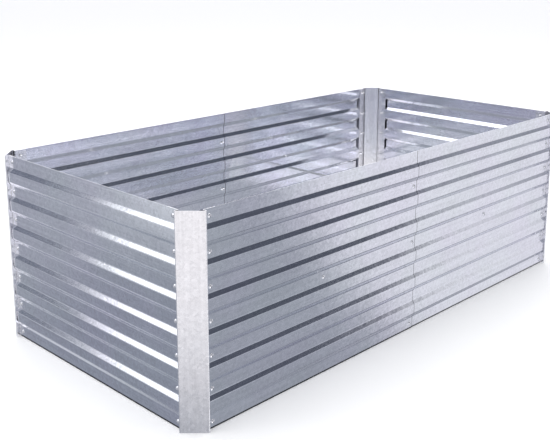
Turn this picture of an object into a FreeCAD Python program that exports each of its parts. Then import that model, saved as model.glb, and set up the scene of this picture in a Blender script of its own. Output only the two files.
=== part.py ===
"""Raised garden bed of galvanised steel sheet, modelled piece by piece in millimetres.

Four folded corner posts carry six corrugated wall panels.  Each long side is two half panels
that overlap at mid length, each end is one panel, and two tie rods cross the bed at mid height.
Seven rows of bolts join every panel end to its post.

The frame: +X runs along the long sides, +Y from the front side to the back, +Z up.
The origin is at the centre of the footprint, on the ground.

Bolts, nuts and their holes repeat so often that their round parts are drawn with flat sides:
eight on a head, six on a shank, a hole or a bore.
"""

import FreeCAD, Part
import math
import os

import Sketcher
from FreeCAD import Placement, Rotation, Vector

# ---------------------------------------------------------------------------------------------
# Driving dimensions, in millimetres
# ---------------------------------------------------------------------------------------------

DIMENSIONS = [
    # the bed as a whole
    ("bed_length", 1830.0, "overall, across the rounded folds of the posts"),
    ("bed_width", 915.0, "overall, across the rounded folds of the posts"),
    ("bed_height", 585.0, "posts and panels alike"),
    # corner posts, one folded sheet each
    ("post_sheet", 1.2, "sheet thickness"),
    ("post_face", 78.6, "width of the face across the corner, over its two rounded folds"),
    ("post_step", 13.0, "how far the folds stand out from the panels' valleys"),
    ("post_flange", 38.0, "width of the flange behind each panel end"),
    ("post_bend", 1.0, "inner radius of the folds"),
    # corrugated panels
    ("panel_sheet", 0.8, "sheet thickness"),
    ("panel_gap", 3.1, "from a panel's end to the post's folded side"),
    ("rib_depth", 7.2, "how far a rib stands out of the valleys"),
    ("rib_crest", 30.5, "height of a rib's flat crest"),
    ("rib_slope", 12.5, "height of each sloping side of a rib"),
    ("valley", 34.4, "height of a flat valley between two ribs"),
    ("middle_valley", 38.6, "the valley at mid height, where the tie rods are bolted"),
    # bolts and nuts
    ("bolt_inset", 15.0, "from a panel's end to its bolts"),
    ("bolt_shank", 6.0, "across the shank"),
    ("bolt_length", 12.0, "under the head"),
    ("head_across", 12.0, "bolt head"),
    ("head_height", 3.6, "bolt head"),
    ("head_chamfer", 2.4, "bevel round the top of the head"),
    ("nut_across", 10.0, "across flats"),
    ("nut_height", 5.0, "nut"),
    ("hole_play", 0.4, "bolt hole wider than the shank"),
    ("thread_play", 0.2, "bore of a nut or a rod wider than the shank"),
    ("seat_play", 0.04, "nut or rod end clear of the sheet that it is drawn up to"),
    # tie rods
    ("rod_diameter", 10.0, "round bar"),
    ("bore_relief", 3.0, "depth of a rod's bore beyond the end of its bolt"),
]

RIBS = 6
ROWS = RIBS + 1  # one row of bolts in each valley, the flats at both edges included
SEAM_ROWS = (0, 3, 5)  # the rows that are bolted at the mid-length seam, from the ground up
HEAD_SIDES = 8
SHANK_SIDES = 6
NUT_SIDES = 6
CLEAN_THROUGH = 4  # a hole is cut by a tool this many sheets long, centred on the sheet
ON_POINT = 0.001  # two points nearer than this are the same
SQRT2 = math.sqrt(2.0)

doc = FreeCAD.newDocument("RaisedGardenBed")
sheet = doc.addObject("Spreadsheet::Sheet", "Sizes")
for line, (alias, number, note) in enumerate(DIMENSIONS, start=1):
    sheet.set(f"A{line}", alias)
    sheet.set(f"B{line}", str(number))
    sheet.set(f"C{line}", note)
    sheet.setAlias(f"B{line}", alias)
doc.recompute()


# ---------------------------------------------------------------------------------------------
# Sizes that carry both their value and the expression that ties it to the sheet
# ---------------------------------------------------------------------------------------------


class Size:
    """A length known both as a number and as an expression over the sheet's cells."""

    def __init__(self, value: float, text: str) -> None:
        self.value = float(value)
        self.text = text

    @staticmethod
    def of(other: "Size | float") -> "Size":
        """Return other as a Size; a plain number stands for itself."""
        if isinstance(other, Size):
            return other
        return Size(float(other), f"{float(other):.9g}")

    def __add__(self, other: "Size | float") -> "Size":
        right = Size.of(other)
        return Size(self.value + right.value, f"({self.text} + {right.text})")

    def __sub__(self, other: "Size | float") -> "Size":
        right = Size.of(other)
        return Size(self.value - right.value, f"({self.text} - {right.text})")

    def __mul__(self, other: "Size | float") -> "Size":
        right = Size.of(other)
        return Size(self.value * right.value, f"({self.text} * {right.text})")

    def __truediv__(self, other: "Size | float") -> "Size":
        right = Size.of(other)
        return Size(self.value / right.value, f"({self.text} / {right.text})")

    def __neg__(self) -> "Size":
        return Size(-self.value, f"(0 - {self.text})")

    __radd__ = __add__
    __rmul__ = __mul__


def cell(alias: str) -> Size:
    """Return the sheet's cell of that name."""
    return Size(sheet.get(alias), f"Sizes.{alias}")


def hypotenuse(a: Size, b: Size) -> Size:
    """Return the long side of a right triangle."""
    return Size(math.hypot(a.value, b.value), f"hypot({a.text}; {b.text})")


def bind(thing: FreeCAD.DocumentObject, prop: str, size: Size) -> None:
    """Drive a property of an object by a size."""
    thing.setExpression(prop, size.text)


ZERO = Size.of(0.0)
BED_HEIGHT = cell("bed_height")
POST_SHEET, POST_FLANGE, POST_BEND = cell("post_sheet"), cell("post_flange"), cell("post_bend")
PANEL_SHEET, RIB_DEPTH, RIB_SLOPE = cell("panel_sheet"), cell("rib_depth"), cell("rib_slope")
BOLT_INSET, BOLT_SHANK, BOLT_LENGTH = cell("bolt_inset"), cell("bolt_shank"), cell("bolt_length")
SEAT_PLAY = cell("seat_play")
HOLE = BOLT_SHANK + cell("hole_play")
BORE = BOLT_SHANK + cell("thread_play")

# Plan view.  The outer faces of the panels' valleys lie this far from the bed's centre planes.
SIDE_Y = cell("bed_width") / 2 - cell("post_step")
END_X = cell("bed_length") / 2 - cell("post_step")
# A fold is rounded, so the sharp corner that its two faces would make stands further out.
OUTER_BEND = POST_BEND + POST_SHEET
FOLD_REACH = cell("post_step") + OUTER_BEND * SQRT2
# From the corner where the planes of two walls' valleys meet to the post's folded side, to the
# panel's end and to its bolts: the same along both walls, as the face lies at 45 degrees.
POST_INSET = cell("post_face") / SQRT2 + OUTER_BEND * (2.0 - SQRT2) - cell("post_step")
PANEL_INSET = POST_INSET + cell("panel_gap")
ROW_INSET = PANEL_INSET + BOLT_INSET

# Elevation.  The flats from the ground up, with one rib between each and the next.
RIB_HEIGHT = cell("rib_crest") + RIB_SLOPE * 2
VALLEY, MIDDLE_VALLEY = cell("valley"), cell("middle_valley")
EDGE_FLAT = (BED_HEIGHT - RIB_HEIGHT * RIBS - VALLEY * (RIBS - 2) - MIDDLE_VALLEY) / 2
FLATS = [VALLEY] * ROWS
FLATS[0] = EDGE_FLAT
FLATS[ROWS // 2] = MIDDLE_VALLEY
FLATS[-1] = EDGE_FLAT
RIB_STEPS = [RIB_HEIGHT + flat for flat in FLATS[1:-1]]
ROW_STEPS = [RIB_HEIGHT + (low + high) / 2 for low, high in zip(FLATS, FLATS[1:])]
SEAM_STEPS = [sum(ROW_STEPS[low:high]) for low, high in zip(SEAM_ROWS, SEAM_ROWS[1:])]
FIRST_ROW = EDGE_FLAT / 2

# Along a wall, from the bed's centre.
HALF_PANEL = END_X - PANEL_INSET + BOLT_INSET
END_PANEL = (SIDE_Y - PANEL_INSET) * 2
LONG_ROW = END_X - ROW_INSET
END_ROW = SIDE_Y - ROW_INSET
ROD_X = LONG_ROW / 2
# The posts' flanges lie on the panels' inner faces, and the nuts on the flanges.
FLANGE_BACK = PANEL_SHEET + POST_SHEET

# At the seam one half panel nests behind the other, slope against slope.  It turns in to there
# from the inner edge of its post's flange.
NEST = PANEL_SHEET * hypotenuse(RIB_DEPTH, RIB_SLOPE) / RIB_SLOPE
PIVOT_X = END_X - POST_INSET - POST_FLANGE
SWING = NEST / (PIVOT_X - BOLT_INSET)


def swung_in(along: Size) -> Size:
    """Return how far inwards the nested half panel lies, at a place along its wall."""
    return SWING * (PIVOT_X - along)


# ---------------------------------------------------------------------------------------------
# Building blocks
# ---------------------------------------------------------------------------------------------

Point = tuple[Size, Size]


def new_body(label: str) -> FreeCAD.DocumentObject:
    """Start an empty body; its label is the name of the piece."""
    body = doc.addObject("PartDesign::Body", "".join(w.title() for w in label.split("_")))
    body.Label = label
    body.AllowCompound = True
    return body


def origin_feature(body: FreeCAD.DocumentObject, role: str) -> FreeCAD.DocumentObject:
    """Return one of the body's own origin planes or axes."""
    return next(f for f in body.Origin.OriginFeatures if f.Role == role)


def new_sketch(body: FreeCAD.DocumentObject, name: str, role: str) -> FreeCAD.DocumentObject:
    """Attach a sketch to one of the body's own origin planes."""
    sketch = body.newObject("Sketcher::SketchObject", name)
    sketch.AttachmentSupport = [(origin_feature(body, role), "")]
    sketch.MapMode = "FlatFace"
    return sketch


def add_loop(sketch: FreeCAD.DocumentObject, corners: list[Point]) -> None:
    """Draw a closed polygon whose every corner is tied to the sheet."""
    first = sketch.GeometryCount
    count = len(corners)
    points = [Vector(x.value, y.value, 0) for x, y in corners]
    for i in range(count):
        sketch.addGeometry(Part.LineSegment(points[i], points[(i + 1) % count]), False)
    for i in range(count):
        after = first + (i + 1) % count
        sketch.addConstraint(Sketcher.Constraint("Coincident", first + i, 2, after, 1))
    for i, corner in enumerate(corners):
        for kind, size in zip(("DistanceX", "DistanceY"), corner):
            tie = Sketcher.Constraint(kind, -1, 1, first + i, 1, size.value)
            bind(sketch, f"Constraints[{sketch.addConstraint(tie)}]", size)


def ring(x: Size, y: Size, across: Size, sides: int) -> list[Point]:
    """Corners of a regular polygon about (x, y), as wide across flats and with one flat up."""
    radius = across / (2.0 * math.cos(math.pi / sides))
    angles = [math.pi / 2 + math.pi * (2 * i - 1) / sides for i in range(sides)]
    return [(x + radius * round(math.cos(a), 9), y + radius * round(math.sin(a), 9)) for a in angles]


def pad(body: FreeCAD.DocumentObject, name: str, sketch: FreeCAD.DocumentObject, length: Size,
        reverse: bool = False) -> FreeCAD.DocumentObject:
    """Extrude a sketch by a size."""
    feature = body.newObject("PartDesign::Pad", name)
    feature.Profile = sketch
    feature.Reversed = reverse
    bind(feature, "Length", length)
    doc.recompute()
    return feature


def pocket(body: FreeCAD.DocumentObject, name: str, sketch: FreeCAD.DocumentObject, depth: Size,
           reverse: bool = False, both_ways: bool = False) -> FreeCAD.DocumentObject:
    """Cut a sketch into the body and make sure that it removed something."""
    before = body.Shape.Volume
    feature = body.newObject("PartDesign::Pocket", name)
    feature.Profile = sketch
    feature.Reversed = reverse
    feature.Midplane = both_ways
    bind(feature, "Length", depth)
    doc.recompute()
    if not feature.Shape.Volume < before:
        raise RuntimeError(f"{body.Label}: {name} cuts nothing")
    return feature


def repeat_up(body: FreeCAD.DocumentObject, name: str, steps: list[Size],
              features: list[FreeCAD.DocumentObject]) -> None:
    """Repeat features upwards by the given steps; with no features, repeat the whole body."""
    pattern = body.newObject("PartDesign::LinearPattern", name)
    if features:
        pattern.Originals = features
    else:
        pattern.TransformMode = "Whole shape"
    pattern.Direction = (origin_feature(body, "Z_Axis"), [""])
    pattern.Mode = "Spacing"
    pattern.Occurrences = len(steps) + 1
    pattern.Spacings = [step.value for step in steps]
    body.Tip = pattern
    doc.recompute()


def upright_edges(shape: Part.Shape, corners: list[Point]) -> list[str]:
    """Names of the upright edges that stand on the given corners of the plan."""
    names = []
    for number, edge in enumerate(shape.Edges, start=1):
        low, high = edge.Vertexes[0].Point, edge.Vertexes[-1].Point
        for x, y in corners:
            foot = Vector(x.value, y.value, low.z)
            head = Vector(x.value, y.value, high.z)
            upright = abs(high.z - low.z) > ON_POINT
            if upright and low.distanceToPoint(foot) < ON_POINT and high.distanceToPoint(head) < ON_POINT:
                names.append(f"Edge{number}")
    return names


def fillet(body: FreeCAD.DocumentObject, name: str, base: FreeCAD.DocumentObject,
           corners: list[Point], radius: Size) -> FreeCAD.DocumentObject:
    """Round the upright edges that stand on the given corners."""
    feature = body.newObject("PartDesign::Fillet", name)
    feature.Base = (base, upright_edges(base.Shape, corners))
    bind(feature, "Radius", radius)
    doc.recompute()
    return feature


class Wall:
    """One side of the bed: along runs to the right as seen from outside, depth inwards."""

    def __init__(self, quarter_turns: int, reach: Size) -> None:
        self.turns = quarter_turns
        self.reach = reach  # from the bed's centre to the outer face of the valleys

    def place(self, body: FreeCAD.DocumentObject, along: Size, inward: Size, up: Size,
              swing: Size | None = None) -> None:
        """Set a body on this wall; swing is the slope of a panel that turns inwards."""
        depth = inward - self.reach
        x, y = [(along, depth), (-depth, along), (-along, -depth), (depth, -along)][self.turns]
        turn = 90.0 * self.turns
        lean = math.degrees(math.atan(swing.value)) if swing else 0.0
        body.Placement = Placement(Vector(x.value, y.value, up.value),
                                   Rotation(Vector(0, 0, 1), turn - lean))
        bind(body, "Placement.Base.x", x)
        bind(body, "Placement.Base.y", y)
        bind(body, "Placement.Base.z", up)
        if swing:
            body.setExpression("Placement.Rotation.Angle", f"{turn} deg - atan({swing.text})")


FRONT, RIGHT, BACK, LEFT = Wall(0, SIDE_Y), Wall(1, END_X), Wall(2, SIDE_Y), Wall(3, END_X)


# ---------------------------------------------------------------------------------------------
# Corner posts
# ---------------------------------------------------------------------------------------------


def corner_post(label: str, quarter_turns: int, x: Size, y: Size) -> None:
    """One sheet folded to a face at 45 degrees, two sides square to the walls and two flanges.

    The body's own origin is where the outer faces of the two walls' valleys would meet; its +X
    and +Y run along the walls, behind whose panels the flanges lie.
    """
    body = new_body(label)
    tip = POST_INSET + POST_FLANGE
    seat, back = PANEL_SHEET, FLANGE_BACK
    side = POST_INSET - POST_SHEET
    miter = POST_SHEET * (1.0 + SQRT2) - FOLD_REACH
    flange_folds = [(seat, POST_INSET), (POST_INSET, seat)]
    face_folds = [(-FOLD_REACH, POST_INSET), (POST_INSET, -FOLD_REACH)]
    flange_folds_inside = [(side, back), (back, side)]
    face_folds_inside = [(side, miter), (miter, side)]
    section = new_sketch(body, "FoldedSection", "XY_Plane")
    add_loop(section, [
        (seat, tip), flange_folds[0], face_folds[0], face_folds[1], flange_folds[1], (tip, seat),
        (tip, back), flange_folds_inside[0], face_folds_inside[0],
        face_folds_inside[1], flange_folds_inside[1], (back, tip),
    ])
    blank = pad(body, "Post", section, BED_HEIGHT)
    tight = fillet(body, "InnerBends", blank, flange_folds + face_folds_inside, POST_BEND)
    fillet(body, "OuterBends", tight, face_folds + flange_folds_inside, OUTER_BEND)

    cuts = []
    for role, name in (("XZ_Plane", "HoleInXFlange"), ("YZ_Plane", "HoleInYFlange")):
        hole = new_sketch(body, f"{name}Section", role)
        add_loop(hole, ring(ROW_INSET, FIRST_ROW, HOLE, SHANK_SIDES))
        cuts.append(pocket(body, name, hole, back * CLEAN_THROUGH, both_ways=True))
    repeat_up(body, "HoleRows", ROW_STEPS, cuts)

    body.Placement = Placement(Vector(x.value, y.value, 0),
                               Rotation(Vector(0, 0, 1), 90.0 * quarter_turns))
    bind(body, "Placement.Base.x", x)
    bind(body, "Placement.Base.y", y)


# ---------------------------------------------------------------------------------------------
# Corrugated panels
# ---------------------------------------------------------------------------------------------


def rib_outline(base: Size, shift: Size) -> list[Point]:
    """Corners of the lowest rib's outline, in the plane across the panel.

    base is the depth at its foot; shift is how much lower each half of it is than the rib.
    """
    crest = base - RIB_DEPTH
    low = EDGE_FLAT + shift
    high = EDGE_FLAT + RIB_HEIGHT - shift
    return [(base, low), (crest, low + RIB_SLOPE), (crest, high - RIB_SLOPE), (base, high)]


def panel(label: str, wall: Wall, length: Size, start: Size, rows_at: list[Size],
          seam_at: Size | None = None, rod_at: Size | None = None, nested: bool = False) -> None:
    """A sheet with six ribs rolled outwards, and its bolt holes.

    The body's own origin is the foot of the panel's left end, as seen from outside, on the outer
    face of the valleys; +X runs along the panel and +Y inwards.  rows_at, seam_at and rod_at
    are how far from that end its full rows, its seam bolts and its tie rod's bolt are.
    """
    body = new_body(label)
    strip = new_sketch(body, "SheetSection", "YZ_Plane")
    add_loop(strip, [(ZERO, ZERO), (PANEL_SHEET, ZERO), (PANEL_SHEET, BED_HEIGHT), (ZERO, BED_HEIGHT)])
    pad(body, "Sheet", strip, length)

    # A rib is its outline added and the same outline, one sheet further in, taken away.
    rib_sketch = new_sketch(body, "RibSection", "YZ_Plane")
    add_loop(rib_sketch, rib_outline(ZERO, ZERO))
    rib = pad(body, "Rib", rib_sketch, length)
    shift = PANEL_SHEET * (hypotenuse(RIB_DEPTH, RIB_SLOPE) - RIB_SLOPE) / RIB_DEPTH
    groove_sketch = new_sketch(body, "GrooveSection", "YZ_Plane")
    add_loop(groove_sketch, rib_outline(PANEL_SHEET, shift))
    groove = pocket(body, "Groove", groove_sketch, length, reverse=True)
    repeat_up(body, "Ribs", RIB_STEPS, [rib, groove])

    through = PANEL_SHEET * CLEAN_THROUGH
    rows = new_sketch(body, "RowHoleSection", "XZ_Plane")
    for at in rows_at:
        add_loop(rows, ring(at, FIRST_ROW, HOLE, SHANK_SIDES))
    repeat_up(body, "HoleRows", ROW_STEPS, [pocket(body, "RowHoles", rows, through, both_ways=True)])
    if seam_at:
        extra = new_sketch(body, "SeamAndRodHoleSection", "XZ_Plane")
        for row in SEAM_ROWS:
            add_loop(extra, ring(seam_at, FIRST_ROW + sum(ROW_STEPS[:row]), HOLE, SHANK_SIDES))
        add_loop(extra, ring(rod_at, BED_HEIGHT / 2, HOLE, SHANK_SIDES))
        body.Tip = pocket(body, "SeamAndRodHoles", extra, through, both_ways=True)

    wall.place(body, start, swung_in(start) if nested else ZERO, ZERO, SWING if nested else None)


def long_side(wall: Wall, outer_label: str, nested_label: str) -> None:
    """The two half panels of a long side; at the seam the right one nests behind the left one."""
    near, far = BOLT_INSET, HALF_PANEL - BOLT_INSET
    panel(outer_label, wall, HALF_PANEL, PANEL_INSET - END_X, [near], far, far - ROD_X)
    panel(nested_label, wall, HALF_PANEL, -BOLT_INSET, [far], near, near + ROD_X, nested=True)


def end_side(wall: Wall, label: str) -> None:
    """The one panel of an end, bolted at both its ends."""
    panel(label, wall, END_PANEL, PANEL_INSET - SIDE_Y, [BOLT_INSET, END_PANEL - BOLT_INSET])


# ---------------------------------------------------------------------------------------------
# Bolts, nuts and tie rods
# ---------------------------------------------------------------------------------------------


def bolt(label: str) -> FreeCAD.DocumentObject:
    """A pan-headed bolt: its head stands outwards from Y = 0 and its shank runs inwards."""
    body = new_body(label)
    head_sketch = new_sketch(body, "HeadSection", "XZ_Plane")
    add_loop(head_sketch, ring(ZERO, ZERO, cell("head_across"), HEAD_SIDES))
    pad(body, "Head", head_sketch, cell("head_height"))
    shank_sketch = new_sketch(body, "ShankSection", "XZ_Plane")
    add_loop(shank_sketch, ring(ZERO, ZERO, BOLT_SHANK, SHANK_SIDES))
    shank = pad(body, "Shank", shank_sketch, BOLT_LENGTH, reverse=True)
    top = -cell("head_height").value
    rim = [f"Edge{number}" for number, edge in enumerate(shank.Shape.Edges, start=1)
           if all(abs(v.Point.y - top) < ON_POINT for v in edge.Vertexes)]
    bevel = body.newObject("PartDesign::Chamfer", "HeadBevel")
    bevel.Base = (shank, rim)
    bind(bevel, "Size", cell("head_chamfer"))
    doc.recompute()
    return body


def nut(label: str) -> FreeCAD.DocumentObject:
    """A hexagon nut that stands inwards from its seat at Y = 0."""
    body = new_body(label)
    outline = new_sketch(body, "NutSection", "XZ_Plane")
    add_loop(outline, ring(ZERO, ZERO, cell("nut_across"), NUT_SIDES))
    add_loop(outline, ring(ZERO, ZERO, BORE, SHANK_SIDES))
    pad(body, "Nut", outline, cell("nut_height"), reverse=True)
    return body


def fasteners(name: str, wall: Wall, along: Size, steps: list[Size], seat: Size,
              inward: Size = ZERO, swing: Size | None = None) -> None:
    """A column of bolts and the column of nuts that holds it.

    steps are the distances between its rows; seat is the depth of the face that the nuts are
    drawn up to.  inward and swing follow the panel on whose outer face the heads lie.
    """
    bolts = bolt(f"{name}_bolts")
    repeat_up(bolts, "Rows", steps, [])
    wall.place(bolts, along, inward, FIRST_ROW, swing)
    nuts = nut(f"{name}_nuts")
    repeat_up(nuts, "Rows", steps, [])
    wall.place(nuts, along, seat + SEAT_PLAY, FIRST_ROW)


def rod_bolts(outer_label: str, nested_label: str, wall: Wall) -> None:
    """The two bolts of one long side that run into the ends of the tie rods."""
    wall.place(bolt(outer_label), -ROD_X, ZERO, BED_HEIGHT / 2)
    wall.place(bolt(nested_label), ROD_X, swung_in(ROD_X), BED_HEIGHT / 2, SWING)


def tie_rod(label: str, wall: Wall) -> None:
    """A round bar across the bed at mid height, bored at both ends for its bolts.

    It runs from the wall's outer half panel to the nested half panel across the bed.
    """
    body = new_body(label)
    length = (SIDE_Y - PANEL_SHEET) * 2 - swung_in(ROD_X) - SEAT_PLAY
    diameter = cell("rod_diameter")
    circle = new_sketch(body, "BarSection", "XZ_Plane")
    circle.addGeometry(Part.Circle(Vector(0, 0, 0), Vector(0, 0, 1), diameter.value / 2), False)
    circle.addConstraint(Sketcher.Constraint("Coincident", 0, 3, -1, 1))
    across = circle.addConstraint(Sketcher.Constraint("Diameter", 0, diameter.value))
    bind(circle, f"Constraints[{across}]", diameter)
    pad(body, "Bar", circle, length, reverse=True)

    depth = BOLT_LENGTH - PANEL_SHEET + cell("bore_relief")
    near = new_sketch(body, "NearBoreSection", "XZ_Plane")
    add_loop(near, ring(ZERO, ZERO, BORE, SHANK_SIDES))
    pocket(body, "NearBore", near, depth)
    far = new_sketch(body, "FarBoreSection", "XZ_Plane")
    add_loop(far, ring(ZERO, ZERO, BORE, SHANK_SIDES))
    bind(far, "AttachmentOffset.Base.z", -length)
    pocket(body, "FarBore", far, depth, reverse=True)
    wall.place(body, -ROD_X, PANEL_SHEET, BED_HEIGHT / 2)


# ---------------------------------------------------------------------------------------------
# The bed
# ---------------------------------------------------------------------------------------------

corner_post("corner_post_front_left", 0, -END_X, -SIDE_Y)
corner_post("corner_post_front_right", 1, END_X, -SIDE_Y)
corner_post("corner_post_back_right", 2, END_X, SIDE_Y)
corner_post("corner_post_back_left", 3, -END_X, SIDE_Y)

long_side(FRONT, "front_panel_left", "front_panel_right")
long_side(BACK, "back_panel_right", "back_panel_left")
end_side(LEFT, "end_panel_left")
end_side(RIGHT, "end_panel_right")

for side, wall, outer, nested in (("front", FRONT, "left", "right"), ("back", BACK, "right", "left")):
    fasteners(f"{side}_{outer}", wall, -LONG_ROW, ROW_STEPS, FLANGE_BACK)
    fasteners(f"{side}_{nested}", wall, LONG_ROW, ROW_STEPS, FLANGE_BACK, swung_in(LONG_ROW), SWING)
    fasteners(f"{side}_seam", wall, ZERO, SEAM_STEPS, swung_in(-BOLT_INSET) + PANEL_SHEET)
    rod_bolts(f"{side}_rod_bolt_{outer}", f"{side}_rod_bolt_{nested}", wall)
for side, wall, left, right in (("left", LEFT, "back", "front"), ("right", RIGHT, "front", "back")):
    fasteners(f"{side}_end_{left}", wall, -END_ROW, ROW_STEPS, FLANGE_BACK)
    fasteners(f"{side}_end_{right}", wall, END_ROW, ROW_STEPS, FLANGE_BACK)

tie_rod("tie_rod_left", FRONT)
tie_rod("tie_rod_right", BACK)

# ---------------------------------------------------------------------------------------------
# Check every object, then write one file per piece
# ---------------------------------------------------------------------------------------------

doc.recompute()
for thing in doc.Objects:
    if any(flag in thing.State for flag in ("Invalid", "Error")):
        raise RuntimeError(f"{thing.Label} is in state {thing.State}")

pieces = [thing for thing in doc.Objects if thing.TypeId == "PartDesign::Body"]
for piece in pieces:
    if piece.Shape.isNull() or not piece.Shape.isValid() or not piece.Shape.Solids:
        raise RuntimeError(f"{piece.Label} has no valid solid")

os.makedirs("parts", exist_ok=True)
for piece in pieces:
    piece.Shape.exportStep(os.path.join("parts", f"{piece.Label}.step"))
    box = piece.Shape.BoundBox
    print(f"{piece.Label}: {len(piece.Shape.Solids)} solid(s), "
          f"{box.XLength:.1f} x {box.YLength:.1f} x {box.ZLength:.1f} mm")
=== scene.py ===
"""Raised garden bed of galvanised steel sheet: its finishes, fasteners and studio, in metres.

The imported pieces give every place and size.  Posts, panels and tie rods are copied from them,
with the panels' creases rounded as the rollers leave them.  Bolts and nuts are modelled in full
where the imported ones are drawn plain: domed heads with a cross recess, thread rings, chamfered
nuts.
"""

import logging
import math
from collections.abc import Iterable
from dataclasses import dataclass, field
from enum import Enum

import bmesh
import bpy
from mathutils import Matrix, Vector


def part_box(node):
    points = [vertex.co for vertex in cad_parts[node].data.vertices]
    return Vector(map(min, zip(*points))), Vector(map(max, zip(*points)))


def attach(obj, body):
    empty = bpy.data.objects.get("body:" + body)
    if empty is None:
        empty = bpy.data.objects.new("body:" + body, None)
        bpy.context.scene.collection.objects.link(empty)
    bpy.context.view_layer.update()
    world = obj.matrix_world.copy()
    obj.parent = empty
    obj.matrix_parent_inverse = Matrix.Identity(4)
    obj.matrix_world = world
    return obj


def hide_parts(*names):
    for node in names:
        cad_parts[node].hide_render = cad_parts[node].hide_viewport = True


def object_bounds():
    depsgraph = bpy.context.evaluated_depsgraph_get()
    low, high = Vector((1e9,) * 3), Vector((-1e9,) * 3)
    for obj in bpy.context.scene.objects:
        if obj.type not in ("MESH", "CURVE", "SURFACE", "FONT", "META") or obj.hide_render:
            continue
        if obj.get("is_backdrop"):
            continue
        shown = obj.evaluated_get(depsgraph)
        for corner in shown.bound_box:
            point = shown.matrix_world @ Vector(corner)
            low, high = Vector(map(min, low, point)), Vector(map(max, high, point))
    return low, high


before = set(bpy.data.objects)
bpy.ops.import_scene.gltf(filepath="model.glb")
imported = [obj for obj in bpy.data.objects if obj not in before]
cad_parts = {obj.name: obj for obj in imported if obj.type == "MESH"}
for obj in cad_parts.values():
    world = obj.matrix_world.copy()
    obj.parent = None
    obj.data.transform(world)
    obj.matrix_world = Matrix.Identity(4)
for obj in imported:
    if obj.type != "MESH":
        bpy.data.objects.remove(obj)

LOG = logging.getLogger("raised_garden_bed")

MM = 0.001
BODY = "root"
WELD = 0.001 * MM  # vertices nearer than this are one
FLAT = math.radians(0.5)  # faces that differ less than this are one flat face
MIDDLE = (0.5, 0.5, 0.5)  # the middle of a random colour
HEX_SIDES = 6

WALL_TINT = (0.80, 0.797, 0.87)
WALL_CAST = (0.785, 0.812, 0.85)
POST_TINT = (0.86, 0.86, 0.885)
POST_CAST = (0.865, 0.855, 0.875)
ROD_TINT = (0.66, 0.67, 0.69)
FASTENER_TINT = (0.86, 0.86, 0.88)

Triple = tuple[float, float, float]
Colour = Triple
Span = tuple[float, float]
Profile = list[tuple[float, float]]
Socket = bpy.types.NodeSocket


# ---------------------------------------------------------------------------------------------
# Named options
# ---------------------------------------------------------------------------------------------


class Slot(Enum):
    """The record's material slots."""

    PANEL = "panel_sheet"
    POST = "post_sheet"
    FASTENER = "fastener"
    ROD = "tie_rod"


class Grain(Enum):
    """The way that a sheet was rolled: streaks per metre along X, Y and Z."""

    ALONG_X = (2.5, 190.0, 190.0)
    ALONG_Y = (190.0, 2.5, 190.0)
    ALONG_Z = (120.0, 120.0, 3.0)


class Side(Enum):
    """A side of the bed, by the direction that its outer face looks."""

    FRONT = (0.0, -1.0, 0.0)
    BACK = (0.0, 1.0, 0.0)
    LEFT_END = (-1.0, 0.0, 0.0)
    RIGHT_END = (1.0, 0.0, 0.0)

    @property
    def outward(self) -> Vector:
        """Return the direction out of the bed."""
        return Vector(self.value)

    def seat(self, at: Vector, turn: float = 0.0) -> Matrix:
        """Place a fastener that is modelled along +Z.

        Args:
            at: where the fastener's own origin comes.
            turn: how far it is turned about its own axis, in radians.

        Returns:
            The matrix that points its +Z out of this side, and its +Y up.
        """
        up = Vector((0.0, 0.0, 1.0))
        out = self.outward
        axes = Matrix((up.cross(out), up, out)).transposed().to_4x4()
        return Matrix.Translation(at) @ axes @ Matrix.Rotation(turn, 4, "Z")


# ---------------------------------------------------------------------------------------------
# Finishes
# ---------------------------------------------------------------------------------------------


class NodeGraph:
    """A node tree that is built up from nodes with their inputs filled in."""

    def __init__(self, tree: bpy.types.NodeTree) -> None:
        """Start from a node tree."""
        self.tree = tree

    def add(self, kind: str, inputs: dict | None = None, **settings: object) -> bpy.types.Node:
        """Add a node.

        Args:
            kind: the node's type, without its ShaderNode prefix.
            inputs: a value or another node's socket for each input, by name or number.
            settings: the node's own properties.

        Returns:
            The new node.
        """
        node = self.tree.nodes.new(f"ShaderNode{kind}")
        for key, value in settings.items():
            setattr(node, key, value)
        for key, value in (inputs or {}).items():
            if isinstance(value, Socket):
                self.tree.links.new(value, node.inputs[key])
            else:
                node.inputs[key].default_value = value
        return node

    def ramp(self, value: Socket, span: Span, start: float = 0.0, smooth: bool = True) -> Socket:
        """Turn a value into a rise to 1 over a span.

        Args:
            value: the value's socket.
            span: the values where the rise begins and ends.
            start: what comes out below the span.
            smooth: whether the rise eases in and out.

        Returns:
            The rise's socket.
        """
        inputs = {"Value": value, "From Min": span[0], "From Max": span[1], "To Min": start}
        kind = "SMOOTHSTEP" if smooth else "LINEAR"
        return self.add("MapRange", inputs, interpolation_type=kind).outputs["Result"]

    def mixed(self, share: Socket, first: Colour | Socket, second: Colour | Socket) -> Socket:
        """Mix two colours.

        Args:
            share: how much of the second colour there is, from 0 to 1.
            first: the first colour.
            second: the second colour.

        Returns:
            The mixed colour's socket.
        """
        mix = self.add("Mix", {0: share}, data_type="RGBA")
        for name, colour in (("A", first), ("B", second)):
            port = next(port for port in mix.inputs if port.name == name and port.type == "RGBA")
            if isinstance(colour, Socket):
                self.tree.links.new(colour, port)
            else:
                port.default_value = (*colour, 1.0)
        return next(port for port in mix.outputs if port.type == "RGBA")


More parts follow.
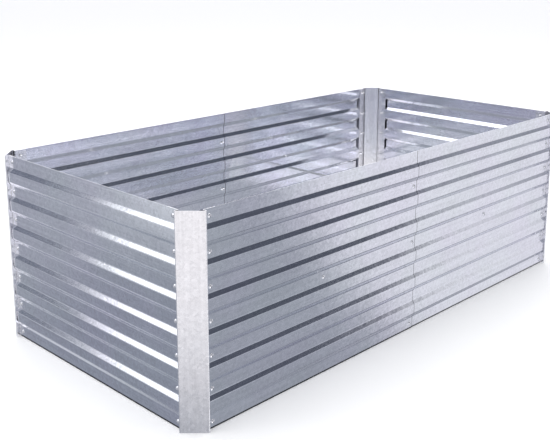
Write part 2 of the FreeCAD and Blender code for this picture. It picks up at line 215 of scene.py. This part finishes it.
class Recipe(NodeGraph):
    """The nodes of one material, all placed by Object coordinates."""

    def __init__(self, name: str, metallic: float) -> None:
        """Start a material.

        Args:
            name: the material's name.
            metallic: how metallic it is, from 0 to 1.
        """
        self.material = bpy.data.materials.new(name)
        self.material.use_nodes = True
        super().__init__(self.material.node_tree)
        self.shader = self.tree.nodes["Principled BSDF"]
        self.shader.inputs["Metallic"].default_value = metallic
        self.place = self.add("TexCoord").outputs["Object"]

    def noise(self, scale: float, detail: float, where: Socket | None = None) -> Socket:
        """Make a noise.

        Args:
            scale: its waves per metre.
            detail: how many finer layers it has.
            where: the place that it is read at, or the plain place.

        Returns:
            Its value's socket.
        """
        node = self.add("TexNoise", {"Vector": where or self.place, "Scale": scale, "Detail": detail})
        return node.outputs["Fac"]

    def stretched(self, scale: Triple) -> Socket:
        """Return the place, scaled differently along each axis."""
        return self.add("Mapping", {"Vector": self.place, "Scale": scale}).outputs["Vector"]

    def nudged(self, vector: Socket, colour: Socket, reach: float) -> Socket:
        """Move a vector by a random colour.

        Args:
            vector: the vector's socket.
            colour: the random colour's socket.
            reach: how far apart the furthest moves are, along each axis.

        Returns:
            The moved vector's socket.
        """
        centred = self.add("VectorMath", {0: colour, 1: MIDDLE}, operation="SUBTRACT").outputs[0]
        inputs = {0: centred, 1: (reach, reach, reach), 2: vector}
        return self.add("VectorMath", inputs, operation="MULTIPLY_ADD").outputs[0]

    def blend(self, start: float, *parts: tuple[Socket, float]) -> Socket:
        """Add up patterns round a middle value.

        Args:
            start: the value where every pattern is at its middle, 0.5.
            parts: each pattern, with how far it carries the value from its low to its high.

        Returns:
            The sum's socket.
        """
        total: Socket | float = start - sum(weight for _, weight in parts) / 2
        for pattern, weight in parts:
            step = self.add("Math", {0: pattern, 1: weight, 2: total}, operation="MULTIPLY_ADD")
            total = step.outputs[0]
        return total

    def times(self, one: Socket, other: Socket) -> Socket:
        """Return the product of two sockets."""
        return self.add("Math", {0: one, 1: other}, operation="MULTIPLY").outputs[0]

    def tinted(self, colour: Colour | Socket, tone: Socket) -> None:
        """Give the shader a colour that gets lighter and darker with tone."""
        shade = self.add("VectorMath", {0: colour, "Scale": tone}, operation="SCALE")
        self.tree.links.new(shade.outputs["Vector"], self.shader.inputs["Base Color"])

    def bump(self, height: Socket, depth: float, below: Socket | None = None) -> Socket:
        """Lay a relief over the surface.

        Args:
            height: the relief's pattern.
            depth: how deep it is, in metres.
            below: the normal of another relief that it lies on.

        Returns:
            The normal's socket.
        """
        inputs = {"Height": height, "Distance": depth, "Strength": 1.0}
        if below is not None:
            inputs["Normal"] = below
        return self.add("Bump", inputs).outputs["Normal"]

    def join(self, source: Socket, target: str) -> None:
        """Join a socket to one of the shader's inputs."""
        self.tree.links.new(source, self.shader.inputs[target])


@dataclass(frozen=True)
class GalvanisedSheet:
    """Zinc-dipped sheet: crystals that catch the light, mill streaks and slow cloudy patches, with
    painted shadow lines at a lap and along the foot.
    """

    name: str
    tint: Colour
    cast: Colour
    grain: Grain
    lap_shade_at: float | None = None  # where the sheet ends in a lap, along X, and where a line of painted shade is laid
    roughness: float = 0.135
    roughness_spread: float = 0.07
    crystal: float = 7.0 * MM
    crystal_tilt: float = 0.008
    crystal_contrast: float = 0.11
    raggedness: float = 1.5  # waves in a crystal's edge, over the crystal's width
    streak_contrast: float = 0.24
    cloud_contrast: float = 0.16
    clouds_per_metre: float = 7.0
    casts_per_metre: float = 5.0
    cast_span: Span = (0.35, 0.65)  # the part of the noise over which the colour drifts
    ripple: float = 0.16 * MM
    ripples_per_metre: float = 4.0
    streak_relief: float = 0.004 * MM
    # painted shade: a dark line either side of the lap and a dark line along the foot stand in for the
    # shadows there
    lap_shade_reach: float = 2.6 * MM
    shade_darkness: float = 0.75
    shade_core: float = 0.6  # how much of a line of painted shade is fully dark
    foot_shade_height: float | None = 5.5 * MM  # how high the painted contact shadow along the sheet's foot is
    foot_shade_darkness: float = 0.93

    def material(self) -> bpy.types.Material:
        """Return the finish as a material."""
        made = Recipe(self.name, metallic=1.0)
        cell = self._crystals(made)
        streaks = made.noise(1.0, detail=3.0, where=made.stretched(self.grain.value))
        clouds = made.noise(self.clouds_per_metre, detail=6.0)
        shades = made.add("SeparateColor", {"Color": cell})
        tone = made.blend(
            1.0,
            (shades.outputs["Red"], self.crystal_contrast),
            (streaks, self.streak_contrast),
            (clouds, self.cloud_contrast),
        )
        # Painted shade: a dark line either side of where the sheet laps, standing in for the shadow of
        # the lap's step.
        if self.lap_shade_at is not None:
            tone = made.times(tone, self._unshaded(made, "X", self.lap_shade_at, self.lap_shade_reach, self.shade_darkness))
        # Painted contact shadow: darker along the sheet's foot, standing in for the shade where it meets
        # the floor.
        if self.foot_shade_height is not None:
            tone = made.times(tone, self._unshaded(made, "Z", 0.0, self.foot_shade_height, self.foot_shade_darkness))
        made.tinted(self._colour(made), tone)
        spread = self.roughness_spread
        rough = made.blend(self.roughness, (shades.outputs["Green"], spread / 2), (clouds, spread))
        made.join(rough, "Roughness")
        waves = made.noise(self.ripples_per_metre, detail=1.0)
        rippled = made.bump(waves, self.ripple, self._tilted(made, cell))
        made.join(made.bump(streaks, self.streak_relief, rippled), "Normal")
        return made.material

    def _colour(self, made: Recipe) -> Socket:
        """Return the zinc's colour, which drifts slowly between its two casts."""
        drift = made.noise(self.casts_per_metre, detail=3.0)
        return made.mixed(made.ramp(drift, self.cast_span, smooth=False), self.tint, self.cast)

    def _unshaded(self, made: Recipe, axis: str, at: float, reach: float, shade_darkness: float) -> Socket:
        """Return how far the sheet is left unshaded beside a line of painted shade.

        Args:
            made: the material's recipe.
            axis: the axis that crosses the line.
            at: where the line is along it.
            reach: how far the painted shade goes on each side of the line.
            shade_darkness: how dark the painted shade is, from 0 to 1.

        Returns:
            A socket that is 1 where no shade is painted.
        """
        place = made.add("SeparateXYZ", {0: made.place}).outputs[axis]
        off = made.add("Math", {0: place, 1: at}, operation="SUBTRACT").outputs[0]
        off = made.add("Math", {0: off}, operation="ABSOLUTE").outputs[0]
        return made.ramp(off, (reach * self.shade_core, reach), start=1.0 - shade_darkness)

    def _crystals(self, made: Recipe) -> Socket:
        """Return a random colour for each ragged-edged zinc crystal."""
        inputs = {"Vector": made.place, "Scale": self.raggedness / self.crystal, "Detail": 2.0}
        ragged = made.add("TexNoise", inputs).outputs["Color"]
        pushed = made.nudged(made.place, ragged, self.crystal)
        cells = made.add("TexVoronoi", {"Vector": pushed, "Scale": 1.0 / self.crystal})
        return cells.outputs["Color"]

    def _tilted(self, made: Recipe, cell: Socket) -> Socket:
        """Return the surface's normal, leaned a little differently in each crystal."""
        plain = made.add("NewGeometry").outputs["Normal"]
        leaned = made.nudged(plain, cell, self.crystal_tilt)
        return made.add("VectorMath", {0: leaned}, operation="NORMALIZE").outputs[0]


@dataclass(frozen=True)
class ZincPlate:
    """Zinc-plated turned steel: a bright skin with fine drawing marks and duller patches."""

    name: str
    tint: Colour
    roughness: float = 0.2
    roughness_spread: float = 0.14
    patch: float = 5.0 * MM
    mark: float = 0.7 * MM
    mark_relief: float = 0.01 * MM
    patch_contrast: float = 0.14

    def material(self) -> bpy.types.Material:
        """Return the finish as a material."""
        made = Recipe(self.name, metallic=1.0)
        patches = made.noise(1.0 / self.patch, detail=4.0)
        marks = made.noise(1.0 / self.mark, detail=2.0)
        made.tinted(self.tint, made.blend(1.0, (patches, self.patch_contrast)))
        made.join(made.blend(self.roughness, (patches, self.roughness_spread)), "Roughness")
        made.join(made.bump(marks, self.mark_relief), "Normal")
        return made.material


@dataclass(frozen=True)
class PalePaint:
    """The studio floor's matt paint, faintly uneven and faintly glowing."""

    name: str = "pale_floor_paint"
    tint: Colour = (0.965, 0.965, 0.96)
    roughness: float = 0.85
    glow: float = 0.10
    glow_colour: Colour = (1.0, 1.0, 1.0)
    clouds_per_metre: float = 3.0
    cloud_contrast: float = 0.02
    grains_per_metre: float = 60.0
    grain_relief: float = 0.1 * MM

    def material(self) -> bpy.types.Material:
        """Return the finish as a material."""
        made = Recipe(self.name, metallic=0.0)
        clouds = made.noise(self.clouds_per_metre, detail=5.0)
        grains = made.noise(self.grains_per_metre, detail=4.0)
        made.tinted(self.tint, made.blend(1.0, (clouds, self.cloud_contrast)))
        made.shader.inputs["Roughness"].default_value = self.roughness
        made.shader.inputs["Emission Color"].default_value = (*self.glow_colour, 1.0)
        made.shader.inputs["Emission Strength"].default_value = self.glow
        made.join(made.bump(grains, self.grain_relief), "Normal")
        return made.material


# ---------------------------------------------------------------------------------------------
# Meshes
# ---------------------------------------------------------------------------------------------


def packed_copy(node: str) -> bmesh.types.BMesh:
    """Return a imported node's mesh with its loose triangles joined into whole flat faces."""
    bm = bmesh.new()
    bm.from_mesh(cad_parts[node].data)
    bmesh.ops.remove_doubles(bm, verts=bm.verts, dist=WELD)
    bmesh.ops.dissolve_limit(bm, angle_limit=FLAT, verts=bm.verts, edges=bm.edges)
    return bm


def solids_of(node: str) -> list[tuple[Vector, Vector]]:
    """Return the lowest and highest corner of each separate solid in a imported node, in order."""
    bm = packed_copy(node)
    waiting = set(bm.verts)
    boxes = []
    while waiting:
        reached = [waiting.pop()]
        places = []
        while reached:
            vert = reached.pop()
            places.append(vert.co.copy())
            near = {edge.other_vert(vert) for edge in vert.link_edges} & waiting
            waiting -= near
            reached.extend(near)
        boxes.append((Vector(map(min, zip(*places))), Vector(map(max, zip(*places)))))
    bm.free()
    return sorted(boxes, key=lambda box: tuple(box[0]))


def turned(profile: Profile, steps: int, closed: bool = False) -> bmesh.types.BMesh:
    """Turn a profile about +Z, as on a lathe.

    Args:
        profile: its points, each a radius and a height.
        steps: how many sides the round gets.
        closed: whether the last point joins the first, as on a ring.

    Returns:
        The turned mesh, with its faces outwards.
    """
    bm = bmesh.new()
    verts = [bm.verts.new((radius, 0.0, height)) for radius, height in profile]
    pairs = list(zip(verts, verts[1:]))
    if closed:
        pairs.append((verts[-1], verts[0]))
    edges = [bm.edges.new(pair) for pair in pairs]
    bmesh.ops.spin(
        bm,
        geom=verts + edges,
        cent=(0.0, 0.0, 0.0),
        axis=(0.0, 0.0, 1.0),
        angle=math.tau,
        steps=steps,
        use_merge=True,
    )
    bmesh.ops.remove_doubles(bm, verts=bm.verts, dist=WELD)
    bmesh.ops.recalc_face_normals(bm, faces=bm.faces)
    return bm


def shade(bm: bmesh.types.BMesh, sharp_from: float) -> None:
    """Shade a mesh smooth, but leave each edge sharper than an angle in degrees as an edge."""
    for face in bm.faces:
        face.smooth = True
    for edge in bm.edges:
        edge.smooth = edge.calc_face_angle(math.pi) < math.radians(sharp_from)


def stamp(bm: bmesh.types.BMesh, pattern: bpy.types.Mesh, place: Matrix) -> None:
    """Add a copy of a pattern mesh to bm at a place."""
    first = len(bm.verts)
    bm.from_mesh(pattern)
    bm.verts.ensure_lookup_table()
    bmesh.ops.transform(bm, matrix=place, verts=bm.verts[first:])


def as_mesh(name: str, bm: bmesh.types.BMesh) -> bpy.types.Mesh:
    """Turn a bmesh into a mesh without any normals kept from its source, and free it."""
    mesh = bpy.data.meshes.new(name)
    bm.to_mesh(mesh)
    bm.free()
    kept = mesh.attributes.get("custom_normal")
    if kept is not None:
        mesh.attributes.remove(kept)
    return mesh


def show(
    name: str, bm: bmesh.types.BMesh, finish: bpy.types.Material, node: str
) -> bpy.types.Object:
    """Make a piece of the bed.

    Args:
        name: the piece's name.
        bm: its mesh, which is freed.
        finish: its material.
        node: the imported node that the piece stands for.

    Returns:
        The piece's object.
    """
    mesh = as_mesh(name, bm)
    mesh.materials.clear()
    mesh.materials.append(finish)
    piece = bpy.data.objects.new(name, mesh)
    bpy.context.scene.collection.objects.link(piece)
    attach(piece, BODY)
    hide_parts(node)
    LOG.info("%s: %d faces", name, len(mesh.polygons))
    return piece


# ---------------------------------------------------------------------------------------------
# Sheet metal
# ---------------------------------------------------------------------------------------------


@dataclass
class CornerPosts:
    """The four corner posts, each folded from one sheet."""

    finish: GalvanisedSheet
    corners: tuple[str, ...] = ("front_left", "front_right", "back_right", "back_left")
    sharp_from: float = 30.0

    def build(self) -> None:
        """Build and dress the posts."""
        finish = self.finish.material()
        for corner in self.corners:
            node = f"corner_post_{corner}"
            bm = packed_copy(node)
            shade(bm, self.sharp_from)
            post = show(f"{node}_folded", bm, finish, node)
            even_shading(post)


@dataclass
class WallPanels:
    """Corrugated wall panels that were rolled the same way, with rounded creases."""

    finish: GalvanisedSheet
    nodes: tuple[str, ...]
    crease_reach: float = 1.3 * MM  # from a crease to where its rounding starts
    crease_steps: int = 4
    crease_least: float = 10.0
    crease_most: float = 60.0
    full_length: float = 0.98
    sharp_from: float = 45.0

    def build(self) -> None:
        """Build and dress the panels."""
        finish = self.finish.material()
        for node in self.nodes:
            bm = packed_copy(node)
            bmesh.ops.bevel(
                bm,
                geom=self._creases(bm),
                offset=self.crease_reach,
                offset_type="OFFSET",
                segments=self.crease_steps,
                profile=0.5,
                affect="EDGES",
                material=-1,
                clamp_overlap=False,
            )
            shade(bm, self.sharp_from)
            panel = show(f"{node}_rolled", bm, finish, node)
            even_shading(panel)

    def _creases(self, bm: bmesh.types.BMesh) -> list[bmesh.types.BMEdge]:
        """Return the edges that run the panel's whole length between a flat and a slope."""
        longest = max(edge.calc_length() for edge in bm.edges)
        least, most = math.radians(self.crease_least), math.radians(self.crease_most)
        return [
            edge
            for edge in bm.edges
            if edge.calc_length() > self.full_length * longest
            and least < edge.calc_face_angle(0.0) < most
        ]


def even_shading(piece: bpy.types.Object) -> None:
    """Keep a piece's broad faces evenly lit beside its rounded creases."""
    weigh = piece.modifiers.new("even_shading", "WEIGHTED_NORMAL")
    weigh.keep_sharp = True
    weigh.weight = 100


# ---------------------------------------------------------------------------------------------
# Fasteners and tie rods
# ---------------------------------------------------------------------------------------------


@dataclass
class PanHeadBolt:
    """A bolt with a low domed head, a cross recess and thread rings.

    It stands along Z: the head's underside is at 0, the head above it and the shank below.
    """

    head_height: float = 3.6 * MM
    rim_height: float = 0.5 * MM
    dome_steps: int = 8
    shank_radius: float = 2.95 * MM
    thread_depth: float = 0.35 * MM
    thread_pitch: float = 1.0 * MM
    plain_shank: float = 5.0 * MM
    recess_width: float = 1.4 * MM
    recess_length: float = 5.8 * MM
    recess_depth: float = 1.7 * MM
    steps: int = 24
    sharp_from: float = 35.0

    def pattern(self, across: float, length: float) -> bpy.types.Mesh:
        """Model one bolt.

        Args:
            across: the head's width.
            length: the bolt's length, head included.

        Returns:
            Its mesh, with the head's underside at the origin.
        """
        bm = turned(self._profile(across / 2, length - self.head_height), self.steps)
        self._cut_recess(bm)
        shade(bm, self.sharp_from)
        return as_mesh("pan_head_bolt", bm)

    def _profile(self, radius: float, shank: float) -> Profile:
        """Return the bolt's outline from its crown down to its tip."""
        rise = self.head_height - self.rim_height
        angles = [math.pi / 2 * (1 - step / self.dome_steps) for step in range(self.dome_steps + 1)]
        outline = [(radius * math.cos(a), self.rim_height + rise * math.sin(a)) for a in angles]
        outline[0] = (0.0, self.head_height)
        outline += [(radius, 0.0), (self.shank_radius, 0.0), (self.shank_radius, -self.plain_shank)]
        root = self.shank_radius - self.thread_depth
        turns = round((shank - self.plain_shank) / self.thread_pitch)
        for turn in range(turns):
            crest = -self.plain_shank - turn * self.thread_pitch
            outline.append((root, crest - self.thread_pitch / 2))
            outline.append((self.shank_radius, crest - self.thread_pitch))
        outline += [(root, -shank), (0.0, -shank)]
        return outline

    def _cut_recess(self, bm: bmesh.types.BMesh) -> None:
        """Sink a cross into the crown."""
        half_width, half_length = self.recess_width / 2, self.recess_length / 2
        for axis in (Vector((1.0, 0.0, 0.0)), Vector((0.0, 1.0, 0.0))):
            for offset in (-half_length, -half_width, half_width, half_length):
                dome = [face for face in bm.faces if face.calc_center_median().z > self.rim_height]
                rim = {edge for face in dome for edge in face.edges}
                corners = {vert for face in dome for vert in face.verts}
                bmesh.ops.bisect_plane(
                    bm,
                    geom=[*corners, *rim, *dome],
                    dist=WELD,
                    plane_co=axis * offset,
                    plane_no=axis,
                )
        arms = []
        for face in bm.faces:
            middle = face.calc_center_median()
            near, far = sorted((abs(middle.x), abs(middle.y)))
            if middle.z > self.rim_height and near < half_width and far < half_length:
                arms.append(face)
        sunk = bmesh.ops.extrude_face_region(bm, geom=arms)
        for item in sunk["geom"]:
            if isinstance(item, bmesh.types.BMVert):
                item.co.z = self.head_height - self.recess_depth
        bmesh.ops.delete(bm, geom=arms, context="FACES")  # the extrusion leaves them as a lid


@dataclass
class HexNut:
    """A hexagon nut with chamfered corners and a bore, centred on the origin along Z."""

    bore_radius: float = 3.1 * MM
    bore_chamfer: float = 0.4 * MM
    corner_chamfer: float = 0.5 * MM
    washer_share: float = 0.98  # how wide the flat round of each end is, over the nut's width
    steps: int = 24
    sharp_from: float = 25.0

    def pattern(self, across_flats: float, height: float) -> bpy.types.Mesh:
        """Model one nut: a chamfered ring with its six flats sliced off.

        Args:
            across_flats: the nut's width.
            height: its height.

        Returns:
            Its mesh.
        """
        top = height / 2
        corner = across_flats / 2 / math.cos(math.pi / HEX_SIDES)
        face = across_flats / 2 * self.washer_share
        bore, chamfer, drop = self.bore_radius, self.bore_chamfer, self.corner_chamfer
        half = [(bore, top - chamfer), (bore + chamfer, top), (face, top), (corner, top - drop)]
        bm = turned(half + [(radius, -z) for radius, z in reversed(half)], self.steps, closed=True)
        for side in range(HEX_SIDES):
            angle = math.radians(90.0 + 360.0 / HEX_SIDES * side)
            out = Vector((math.cos(angle), math.sin(angle), 0.0))
            cut = bmesh.ops.bisect_plane(
                bm,
                geom=[*bm.verts, *bm.edges, *bm.faces],
                dist=WELD,
                plane_co=out * across_flats / 2,
                plane_no=out,
                clear_outer=True,
            )
            rim = [item for item in cut["geom_cut"] if isinstance(item, bmesh.types.BMEdge)]
            bmesh.ops.edgeloop_fill(bm, edges=rim)
        bmesh.ops.recalc_face_normals(bm, faces=bm.faces)
        shade(bm, self.sharp_from)
        return as_mesh("hex_nut", bm)


@dataclass
class Fasteners:
    """Every bolt and nut of the bed, tightened from outside."""

    finish: ZincPlate
    bolt: PanHeadBolt = field(default_factory=PanHeadBolt)
    nut: HexNut = field(default_factory=HexNut)
    turn_between: float = math.radians(137.5)  # each bolt's recess stands at another angle
    rows: dict[Side, tuple[str, ...]] = field(
        default_factory=lambda: {
            Side.FRONT: ("front_left", "front_right", "front_seam"),
            Side.BACK: ("back_left", "back_right", "back_seam"),
            Side.LEFT_END: ("left_end_front", "left_end_back"),
            Side.RIGHT_END: ("right_end_front", "right_end_back"),
        }
    )
    rod_bolts: dict[Side, tuple[str, ...]] = field(
        default_factory=lambda: {
            Side.FRONT: ("front_rod_bolt_left", "front_rod_bolt_right"),
            Side.BACK: ("back_rod_bolt_left", "back_rod_bolt_right"),
        }
    )

    def build(self) -> None:
        """Build and dress the fasteners."""
        finish = self.finish.material()
        for side, rows in self.rows.items():
            for row in rows:
                self._bolts(f"{row}_bolts", side, finish)
                self._nuts(f"{row}_nuts", side, finish)
        for side, nodes in self.rod_bolts.items():
            for node in nodes:
                self._bolts(node, side, finish)

    def _bolts(self, node: str, side: Side, finish: bpy.types.Material) -> None:
        """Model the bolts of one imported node."""
        boxes = solids_of(node)
        low, high = boxes[0]
        size = high - low
        pattern = self.bolt.pattern(across=size.z, length=abs(size.dot(side.outward)))
        bm = bmesh.new()
        for index, (low, high) in enumerate(boxes):
            crown = (low + high) / 2 + side.outward * abs((high - low).dot(side.outward)) / 2
            seat = crown - side.outward * self.bolt.head_height
            stamp(bm, pattern, side.seat(seat, index * self.turn_between))
        show(f"{node}_threaded", bm, finish, node)

    def _nuts(self, node: str, side: Side, finish: bpy.types.Material) -> None:
        """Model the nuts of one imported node."""
        boxes = solids_of(node)
        low, high = boxes[0]
        size = high - low
        pattern = self.nut.pattern(across_flats=size.z, height=abs(size.dot(side.outward)))
        bm = bmesh.new()
        for low, high in boxes:
            stamp(bm, pattern, side.seat((low + high) / 2))
        show(f"{node}_chamfered", bm, finish, node)


@dataclass
class TieRods:
    """The two round bars that hold the long sides together."""

    finish: ZincPlate
    nodes: tuple[str, ...] = ("tie_rod_left", "tie_rod_right")
    sharp_from: float = 40.0

    def build(self) -> None:
        """Build and dress the rods."""
        finish = self.finish.material()
        for node in self.nodes:
            bm = packed_copy(node)
            shade(bm, self.sharp_from)
            rod = show(f"{node}_bar", bm, finish, node)
            even_shading(rod)


# ---------------------------------------------------------------------------------------------
# Studio
# ---------------------------------------------------------------------------------------------


@dataclass(frozen=True)
class Card:
    """A soft-edged light or dark card, far off, which the metal mirrors."""

    azimuth: float  # degrees from +X towards +Y
    height: float  # degrees above the horizon
    core: float  # degrees from its middle to where it starts to fade
    edge: float  # degrees from its middle to where it ends
    light: Colour

    @property
    def fade(self) -> Span:
        """Return the cosines of the angles where the card ends and where it starts to fade."""
        return math.cos(math.radians(self.edge)), math.cos(math.radians(self.core))

    @property
    def towards(self) -> Vector:
        """Return the direction in which the card stands."""
        turn, rise = math.radians(self.azimuth), math.radians(self.height)
        level = math.cos(rise)
        return Vector((math.cos(turn) * level, math.sin(turn) * level, math.sin(rise)))


@dataclass
class Studio:
    """A pale floor, the cards round the bed, one soft overhead light and the camera."""

    backdrop: Colour = (1.0, 1.0, 1.0)
    overhead: Colour = (1.15, 1.15, 1.18)
    horizon: Colour = (0.44, 0.46, 0.52)
    underneath: Colour = (0.36, 0.38, 0.43)
    lower_fade: Span = (-0.5, 0.0)  # from underneath to horizon, as the sine of the height
    upper_fade: Span = (0.1, 0.9)  # from horizon to overhead, likewise
    cards: tuple[Card, ...] = (
        # what the long side mirrors: flats, upper slopes, lower slopes, lower creases
        Card(-24.0, -8.0, 18.0, 22.0, (0.86, 0.86, 0.91)),
        Card(-22.0, 23.0, 8.0, 13.0, (0.33, 0.34, 0.39)),
        Card(-36.0, 10.0, 6.0, 10.5, (0.86, 0.86, 0.90)),
        Card(-52.0, 36.0, 22.0, 24.8, (0.09, 0.10, 0.13)),
        Card(0.0, -25.0, 12.0, 27.0, (0.46, 0.47, 0.52)),
        Card(-27.0, -36.0, 5.0, 12.0, (0.10, 0.11, 0.15)),
        # what the end mirrors: upper slopes far and near, flats, creases
        Card(117.5, 10.0, 8.5, 11.5, (0.16, 0.18, 0.23)),
        Card(141.6, 26.5, 17.2, 18.8, (1.70, 1.70, 1.75)),
        Card(142.0, -10.0, 9.0, 20.0, (0.94, 0.95, 1.00)),
        Card(128.0, -30.0, 7.0, 14.0, (0.29, 0.31, 0.37)),
        Card(103.0, -36.0, 4.0, 10.0, (0.75, 0.77, 0.82)),
        # what the near post's face and the far posts' folds mirror
        Card(-135.0, -14.0, 12.0, 17.0, (1.06, 1.05, 1.08)),
        Card(-156.0, -12.0, 7.0, 11.0, (0.95, 0.95, 1.00)),
        Card(-115.0, -13.0, 6.0, 9.0, (1.05, 1.05, 1.10)),
        Card(-65.0, -14.0, 8.0, 13.0, (1.30, 1.30, 1.35)),
        # what the bolt heads mirror below and above, and what the top edges mirror
        Card(-88.0, -42.0, 16.0, 26.0, (1.80, 1.80, 1.85)),
        Card(-105.0, 42.0, 18.0, 30.0, (0.06, 0.07, 0.09)),
        Card(-93.0, -8.0, 8.0, 15.0, (0.24, 0.25, 0.29)),
        Card(45.0, 22.0, 20.0, 28.0, (1.75, 1.75, 1.80)),
    )
    floor_radius: float = 60.0
    floor_sides: int = 64
    floor_drop: float = 0.2 * MM
    lamp_size: float = 7.0
    lamp_height: float = 5.0
    lamp_power: float = 190.0
    lens: float = 57.735
    sight: float = 240.0  # how far the camera sees, past the floor's far edge
    camera_at: Triple = (-2.1836, -1.9926, 1.2036)
    camera_heading: float = math.radians(44.60)
    camera_dip: float = math.radians(12.27)
    lens_shift: float = -0.15

    def build(self) -> None:
        """Set up the floor, the light and the camera."""
        self._floor()
        self._surroundings()
        self._lamp()
        self._camera()

    def _floor(self) -> None:
        """Lay the floor.  The cards alone show in the metal, as if the floor were clear there."""
        bm = bmesh.new()
        bmesh.ops.create_circle(
            bm, cap_ends=True, segments=self.floor_sides, radius=self.floor_radius
        )
        bmesh.ops.translate(bm, verts=bm.verts, vec=(0.0, 0.0, -self.floor_drop))
        mesh = as_mesh("studio_floor", bm)
        mesh.materials.append(PalePaint().material())
        floor = bpy.data.objects.new("studio_floor", mesh)
        bpy.context.scene.collection.objects.link(floor)
        floor.visible_glossy = False
        floor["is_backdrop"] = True

    def _surroundings(self) -> None:
        """Light the bed from all round, brighter overhead, with the cards set into it."""
        world = bpy.data.worlds.new("studio")
        world.use_nodes = True
        bpy.context.scene.world = world
        graph = NodeGraph(world.node_tree)
        towards = graph.add("TexCoord").outputs["Object"]
        light = self._rising_light(graph, towards)
        for card in self.cards:
            light = self._set_card(graph, towards, light, card)
        by_camera = graph.add("LightPath").outputs["Is Camera Ray"]
        seen = graph.mixed(by_camera, light, self.backdrop)
        graph.tree.links.new(seen, graph.tree.nodes["Background"].inputs["Color"])

    def _rising_light(self, graph: NodeGraph, towards: Socket) -> Socket:
        """Grow the light from underneath over the horizon to overhead.

        Args:
            graph: the surroundings' nodes.
            towards: the direction that is looked in.

        Returns:
            The light's socket.
        """
        height = graph.add("SeparateXYZ", {0: towards}).outputs["Z"]
        low = graph.mixed(graph.ramp(height, self.lower_fade), self.underneath, self.horizon)
        return graph.mixed(graph.ramp(height, self.upper_fade), low, self.overhead)

    def _set_card(self, graph: NodeGraph, towards: Socket, light: Socket, card: Card) -> Socket:
        """Set one card into the light.

        Args:
            graph: the surroundings' nodes.
            towards: the direction that is looked in.
            light: the light so far.
            card: the card.

        Returns:
            The socket of the light with the card in it.
        """
        inputs = {0: towards, 1: card.towards}
        facing = graph.add("VectorMath", inputs, operation="DOT_PRODUCT").outputs["Value"]
        return graph.mixed(graph.ramp(facing, card.fade), light, card.light)

    def _lamp(self) -> None:
        """Hang one large soft lamp over the bed."""
        data = bpy.data.lights.new("overhead_softbox", "AREA")
        data.shape = "SQUARE"
        data.size = self.lamp_size
        data.energy = self.lamp_power
        lamp = bpy.data.objects.new("overhead_softbox", data)
        lamp.location = (0.0, 0.0, self.lamp_height)
        bpy.context.scene.collection.objects.link(lamp)

    def _camera(self) -> None:
        """Stand the camera near where the photograph was taken from.

        It is dipped a little towards the bed, so that its lens needs less shift than a level one.
        """
        data = bpy.data.cameras.new("photo_camera")
        data.lens = self.lens
        data.shift_y = self.lens_shift
        data.clip_end = self.sight
        camera = bpy.data.objects.new("photo_camera", data)
        camera.location = self.camera_at
        quarter = math.pi / 2
        camera.rotation_euler = (quarter - self.camera_dip, 0.0, self.camera_heading - quarter)
        bpy.context.scene.collection.objects.link(camera)
        bpy.context.scene.camera = camera
        bpy.context.scene.view_settings.view_transform = "Standard"


# ---------------------------------------------------------------------------------------------
# The whole bed
# ---------------------------------------------------------------------------------------------


def box_of_scene() -> list[list[float]]:
    """Return the lowest and highest corner of what is shown, as plain numbers."""
    bpy.context.view_layer.update()
    return [list(corner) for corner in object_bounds()]


def wall_zinc(name: str, grain: Grain, lap_shade_at: float | None = None) -> GalvanisedSheet:
    """Return the finish of wall panels that were rolled one way and lap at one end or none, with painted
    shade along the lap.
    """
    return GalvanisedSheet(name, WALL_TINT, WALL_CAST, grain, lap_shade_at)


def all_parts() -> Iterable[CornerPosts | WallPanels | TieRods | Fasteners]:
    """Return the bed's sub-assemblies, in the order in which they are put together."""
    left_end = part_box("front_panel_left")[1][0]
    right_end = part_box("front_panel_right")[0][0]
    left_zinc = wall_zinc("left_panel_zinc", Grain.ALONG_X, left_end)
    right_zinc = wall_zinc("right_panel_zinc", Grain.ALONG_X, right_end)
    end_zinc = wall_zinc("end_panel_zinc", Grain.ALONG_Y)
    post_zinc = GalvanisedSheet(
        "post_zinc", POST_TINT, POST_CAST, Grain.ALONG_Z, roughness=0.19, foot_shade_height=None
    )
    return (
        CornerPosts(post_zinc),
        WallPanels(left_zinc, ("front_panel_left", "back_panel_left")),
        WallPanels(right_zinc, ("front_panel_right", "back_panel_right")),
        WallPanels(end_zinc, ("end_panel_left", "end_panel_right")),
        TieRods(ZincPlate("rod_zinc", ROD_TINT, roughness=0.34, patch=14.0 * MM)),
        Fasteners(ZincPlate("fastener_zinc", FASTENER_TINT, roughness=0.14)),
    )


def main() -> None:
    """Dress the bed and set up its studio."""
    logging.basicConfig(level=logging.INFO, format="%(message)s")
    packed_box = box_of_scene()
    for part in all_parts():
        part.build()
    Studio().build()
    {"packed": packed_box, "shown": box_of_scene()}


if __name__ == "__main__":
    main()
